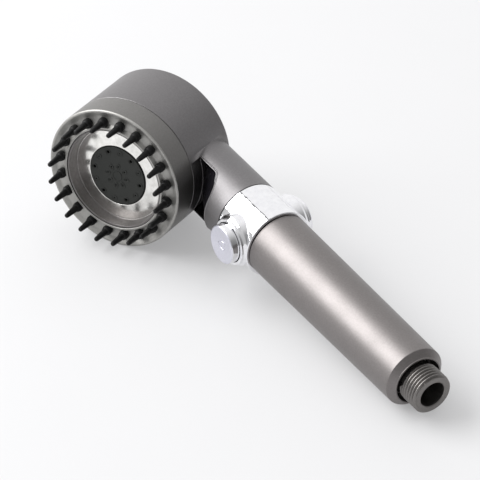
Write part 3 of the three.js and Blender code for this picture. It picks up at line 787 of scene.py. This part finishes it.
def collar(side):
    base, reach, radius, steps = valve["boreFloor"], collarReach, valve["collar"], 8
    foot = reach - valve["flareHeight"]
    flare = [(radius + valve["flare"] * (1 + cos(pi * k / steps)) / 2,
              foot + valve["flareLength"] * k / steps) for k in range(steps + 1)]
    ends = [(radius, reach, valve["collarRound"]), (0, reach)]
    shape = across(lathe([(0, base), (radius + valve["flare"], base)] + flare + ends))
    return shape if side > 0 else moved(shape, Matrix.Rotation(pi, 4, "Y"))


def valveBody():
    band = lathe([
        (0, -valveHalf - spigot),
        (neckInner - fit, -valveHalf - spigot),
        (neckInner - fit, -valveHalf),
        (neckRadius, -valveHalf, valve["round"]),
        (neckRadius, valveHalf, valve["round"]),
        (neckInner - valve["spigotWall"], valveHalf),
        (neckInner - valve["spigotWall"], valveHalf + spigot),
        (0, valveHalf + spigot),
    ], fine)
    within = disc(2 * neckRadius, valve["inset"] - valveHalf, valveHalf - valve["inset"], segments=64)
    collars = combine("INTERSECT", together(collar(1), collar(-1)), within)
    body = combine("UNION", band, collars)
    bore = disc(valve["bore"], valve["boreFloor"], 2 * neckRadius)
    bores = [across(bore), moved(across(bore), Matrix.Rotation(pi, 4, "Y"))]
    end = valveHalf + spigot + past / 2
    waterway = disc(valve["waterway"], -end, end, segments=64)
    cross = across(disc(valve["spoolBore"], -2 * neckRadius, 2 * neckRadius, segments=96))
    return combine("DIFFERENCE", body, *bores, waterway, cross)


def buttonCap(node, side):
    low, high = span(node, valvePlace)
    radius = high.z
    reach = high.x if side > 0 else -low.x
    foot = reach - button["skirt"] if side > 0 else -high.x
    flat, steps = radius - button["round"] - button["rim"], 8
    face = [(flat * k / steps, reach - button["dish"] * (1 - (k / steps) ** 2)) for k in range(steps + 1)]
    cap = across(lathe(face + [
        (radius, reach, button["round"]),
        (radius, foot, button["footRound"]),
        (radius - button["wall"], foot),
        (radius - button["wall"], reach - button["wall"]),
        (0, reach - button["wall"]),
    ]))
    if side < 0:
        return moved(cap, Matrix.Rotation(pi, 4, "Y"))
    # a plain water drop stands on the face
    size, width, path = button["markSize"], button["markWidth"] * button["markSize"], []
    for k in range(48):
        t = 2 * pi * k / 48
        path.append(Vector((reach - button["dish"], -size * cos(t), width * sin(t) * sin(t / 2))))
    return together(cap, bead(path, button["markBead"], True, 10))


def faceOrSide(reach):
    return lambda centre, normal: 0 if abs(centre.x) > reach - button["faceDepth"] else 1


stopReach = span("stop_button", valvePlace)[1].x
rearReach = -span("rear_button", valvePlace)[0].x
addPiece("valve_body_fine", valveBody(), valvePlace, "casing", ["valve_body"], [bandChrome])
addPiece("stop_button_fine", buttonCap("stop_button", 1), valvePlace, "stop_valve", ["stop_button"],
         [buttonFace, buttonSide], faceOrSide(stopReach))
addPiece("rear_button_fine", buttonCap("rear_button", -1), valvePlace, "stop_valve", ["rear_button"],
         [buttonFace, buttonSide], faceOrSide(rearReach))


# handle tube and the threaded inlet that stands in its end

grip = {
    "endRadius": 15.75,
    "wall": 1.7,
    "topWall": 2.1,
    "topInner": 0.2,
    "topOuter": 0.45,
    "topDepth": 11.0,
    "shoulder": 3.6,
    "shoulderRound": 0.7,
    "hole": 11.9,
    "holeDepth": 7.2,
    "holeLip": 1.0,
    "lipHeight": 0.5,
    "lipDraft": 0.1,
    "lipRound": 0.35,
    "flange": 2.2,
}
thread = {
    "radius": 10.4775,  # G1/2
    "root": 9.32,
    "pitch": 1.814,
    "turns": 6.3,
    "room": 0.4,
    "bore": 6.65,
    "boreChamfer": 0.4,
    "chamfer": 0.85,
    "crest": 0.2,  # share of the pitch that is flat at the top
    "fadeTurns": 0.3,
    "perTurn": 24,
    "columns": 144,
}


def handleTube():
    low, high = span("handle_tube", handlePlace)
    base = high.y
    topInner = high.z - grip["topWall"]
    inner = grip["endRadius"] - grip["wall"]
    lip = grip["hole"] + grip["holeLip"]
    flangeBack = base - grip["holeDepth"]
    flangeFront = flangeBack - grip["flange"]
    return lathe([
        (topInner, low.y, grip["topInner"]),
        (high.z, low.y, grip["topOuter"]),
        (grip["endRadius"], base - grip["shoulder"], grip["shoulderRound"]),
        (lip, base - grip["lipHeight"]),
        (lip - grip["lipDraft"], base, grip["lipRound"]),
        (grip["hole"], base, softEdge),
        (grip["hole"], flangeBack),
        (thread["radius"] + thread["room"], flangeBack),
        (thread["radius"] + thread["room"], flangeFront),
        (inner, flangeFront),
        (inner, low.y + grip["topDepth"] + 1),
        (topInner, low.y + grip["topDepth"]),
    ], fine)


def inletNipple():
    low, high = span("inlet_nipple", handlePlace)
    end, flange, columns, fadeTurns = high.y, high.z, thread["columns"], thread["fadeTurns"]
    start = end - thread["pitch"] * (thread["turns"] + 3 * fadeTurns)
    flangeBack = span("handle_tube", handlePlace)[1].y - grip["holeDepth"] - grip["flange"] - fit
    rows = int((end - start) / thread["pitch"] * thread["perTurn"])
    points, faces = [], []

    def ridge(row, column):
        # height of the helix over the root, from 0 to 1, fading in and out at its ends
        y = start + (end - start) * row / rows
        turn = (y - start) / thread["pitch"] - column / columns
        near = abs(turn % 1 - 0.5) * 2
        height = min(1, max(0, (1 - near) / (1 - thread["crest"])))
        inside = min(turn - fadeTurns, thread["turns"] + 2 * fadeTurns - turn)
        return height * min(1, max(0, 3 * inside))

    outline = [(thread["bore"], low.y), (flange, low.y), (flange, flangeBack), (thread["root"], flangeBack)]
    rings = [[(r, y)] * columns for r, y in outline]
    for row in range(rows + 1):
        y = start + (end - start) * row / rows
        limit = thread["radius"] - max(0, thread["chamfer"] - (end - y))
        rings.append([(min(limit, thread["root"] + ridge(row, c) * (thread["radius"] - thread["root"])), y)
                      for c in range(columns)])
    rings.append([(thread["bore"] + thread["boreChamfer"], end)] * columns)
    rings.append([(thread["bore"], end - thread["boreChamfer"])] * columns)
    for ring in rings:
        for c, (r, y) in enumerate(ring):
            angle = 2 * pi * c / columns
            points.append(Vector((r * cos(angle), y, -r * sin(angle))))
    for i in range(len(rings)):
        for c in range(columns):
            j = (c + 1) % columns
            after = (i + 1) % len(rings)
            faces.append([i * columns + c, i * columns + j, after * columns + j, after * columns + c])
    return points, faces


addPiece("handle_tube_fine", handleTube(), handlePlace, "casing", ["handle_tube"],
         [handleTitanium])
addPiece("inlet_nipple_fine", inletNipple(), handlePlace, "casing", ["inlet_nipple"],
         [threadTitanium])


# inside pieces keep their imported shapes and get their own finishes

insideFinishes = {
    naturalPom: ["face_carrier", "diverter_disc", "water_manifold", "waterway_tube", "valve_spool",
                 "filter_top_cap", "filter_end_cap", "filter_core"],
    nitrile: ["port_gasket", "tube_o_ring_1", "tube_o_ring_2", "neck_o_ring", "handle_o_ring",
              "spool_o_ring_1", "spool_o_ring_2"],
    steel: ["pivot_screw", "detent_ball", "detent_spring", "inlet_screen"],
    cotton: ["filter_sleeve"],
}
for finish, nodes in insideFinishes.items():
    for node in nodes:
        mesh = frame["nodes"][node].data
        mesh.materials.clear()
        mesh.materials.append(finish)
print("inside pieces finished")


# table, light and camera

studio = {
    "tableSize": 40,  # metres
    "tableColour": "#AEAEAF",
    "tableMottle": 1.01,
    "glowColour": "#FEFEFF",  # light from under the acrylic, which keeps the shadows pale
    "glow": 0.3128,
    "keyDirection": (-0.75, -0.22, 0.62),
    "keyDistance": 2000,
    "keySize": (2400, 1500),
    "keyWatts": 62,
    # brightness along a direction, from behind it (0) to ahead of it (1)
    "room": [
        ((0.447, 0.893, 0.04), [(0.0, 0.5), (0.3, 0.8), (0.46, 0.8), (0.472, 0.65), (0.479, 0.2),
                                (0.494, 0.24), (0.502, 1.05), (0.8, 1.05), (1.0, 1.0)]),
        ((1, 0, 0), [(0.0, 1.0), (0.5, 0.95), (0.75, 0.62), (0.9, 0.3), (1.0, 0.2)]),
    ],
}
view = {
    "azimuth": 30.15,
    "elevation": 31.79,
    "roll": 1.27,
    "lens": 300,
    "film": 36,
    "farthest": 100,  # metres
    "distance": 2016,
    "aim": (-41.35, 50.66, -43.8),  # from the middle of the object's box
}
objectMiddle = (Vector(cadBox[0]) + Vector(cadBox[1])) / 2 / mm


def makeTable():
    # acrylic lit from below: pale grey, with faint clouds
    half = studio["tableSize"] / 2
    corners = [(-half, -half, 0), (half, -half, 0), (half, half, 0), (-half, half, 0)]
    mesh = bpy.data.meshes.new("table")
    mesh.from_pydata(corners, [], [(0, 1, 2, 3)])
    table = bpy.data.objects.new("table", mesh)
    bpy.context.scene.collection.objects.link(table)
    base = linear(studio["tableColour"])
    lighter = [c * studio["tableMottle"] for c in base[:3]] + [1.0]
    glow = {"Emission Color": linear(studio["glowColour"]), "Emission Strength": studio["glow"]}
    clouds = (60.0, 2.0)
    mesh.materials.append(newFinish("lit acrylic table", {"Roughness": 0.7, **glow},
                                    [("Base Color", clouds, base, lighter)]))


def makeKey():
    lamp = bpy.data.lights.new("key softbox", "AREA")
    lamp.shape = "RECTANGLE"
    lamp.size, lamp.size_y = (side * mm for side in studio["keySize"])
    lamp.energy = studio["keyWatts"]
    holder = bpy.data.objects.new("key softbox", lamp)
    direction = Vector(studio["keyDirection"]).normalized()
    holder.location = (objectMiddle + direction * studio["keyDistance"]) * mm
    holder.rotation_euler = direction.to_track_quat("Z", "Y").to_euler()
    bpy.context.scene.collection.objects.link(holder)


def makeRoom():
    # the room's light, brighter behind and to the left, with the dark line where ceiling meets softbox
    world = bpy.data.worlds.new("studio")
    world.use_nodes = True
    tree = world.node_tree
    tree.nodes.clear()
    where = addNode(tree, "ShaderNodeTexCoord").outputs["Generated"]

    parts = []
    for direction, levels in studio["room"]:
        dot = addNode(tree, "ShaderNodeVectorMath", {0: where, 1: direction}, operation="DOT_PRODUCT")
        share = addNode(tree, "ShaderNodeMath", {0: dot.outputs["Value"], 1: 0.5, 2: 0.5},
                        operation="MULTIPLY_ADD")
        ramp = [(position, grey(level)) for position, level in levels]
        fade = addNode(tree, "ShaderNodeValToRGB", {"Fac": share.outputs[0]}, ramp=ramp)
        parts.append(fade.outputs["Color"])
    both = addNode(tree, "ShaderNodeVectorMath", {0: parts[0], 1: parts[1]}, operation="MULTIPLY")
    sky = addNode(tree, "ShaderNodeBackground", {"Color": both.outputs["Vector"]})
    addNode(tree, "ShaderNodeOutputWorld", {"Surface": sky.outputs[0]})
    bpy.context.scene.world = world


def makeCamera():
    azimuth, elevation, roll = (radians(view[key]) for key in ("azimuth", "elevation", "roll"))
    back = Vector((sin(azimuth) * cos(elevation), -cos(azimuth) * cos(elevation), sin(elevation)))
    level = Vector((cos(azimuth), sin(azimuth), 0))
    right = cos(roll) * level + sin(roll) * back.cross(level)
    origin = objectMiddle + Vector(view["aim"]) + back * view["distance"]
    place = axes(right, back.cross(right), origin * mm)
    lens = bpy.data.cameras.new("camera")
    lens.lens = view["lens"]
    lens.sensor_width = view["film"]
    lens.clip_end = view["farthest"]
    holder = bpy.data.objects.new("camera", lens)
    holder.matrix_world = place
    bpy.context.scene.collection.objects.link(holder)
    bpy.context.scene.camera = holder


makeTable()
makeKey()
makeRoom()
makeCamera()
bpy.context.scene.view_settings.view_transform = "Standard"
print("table, light and camera ready")
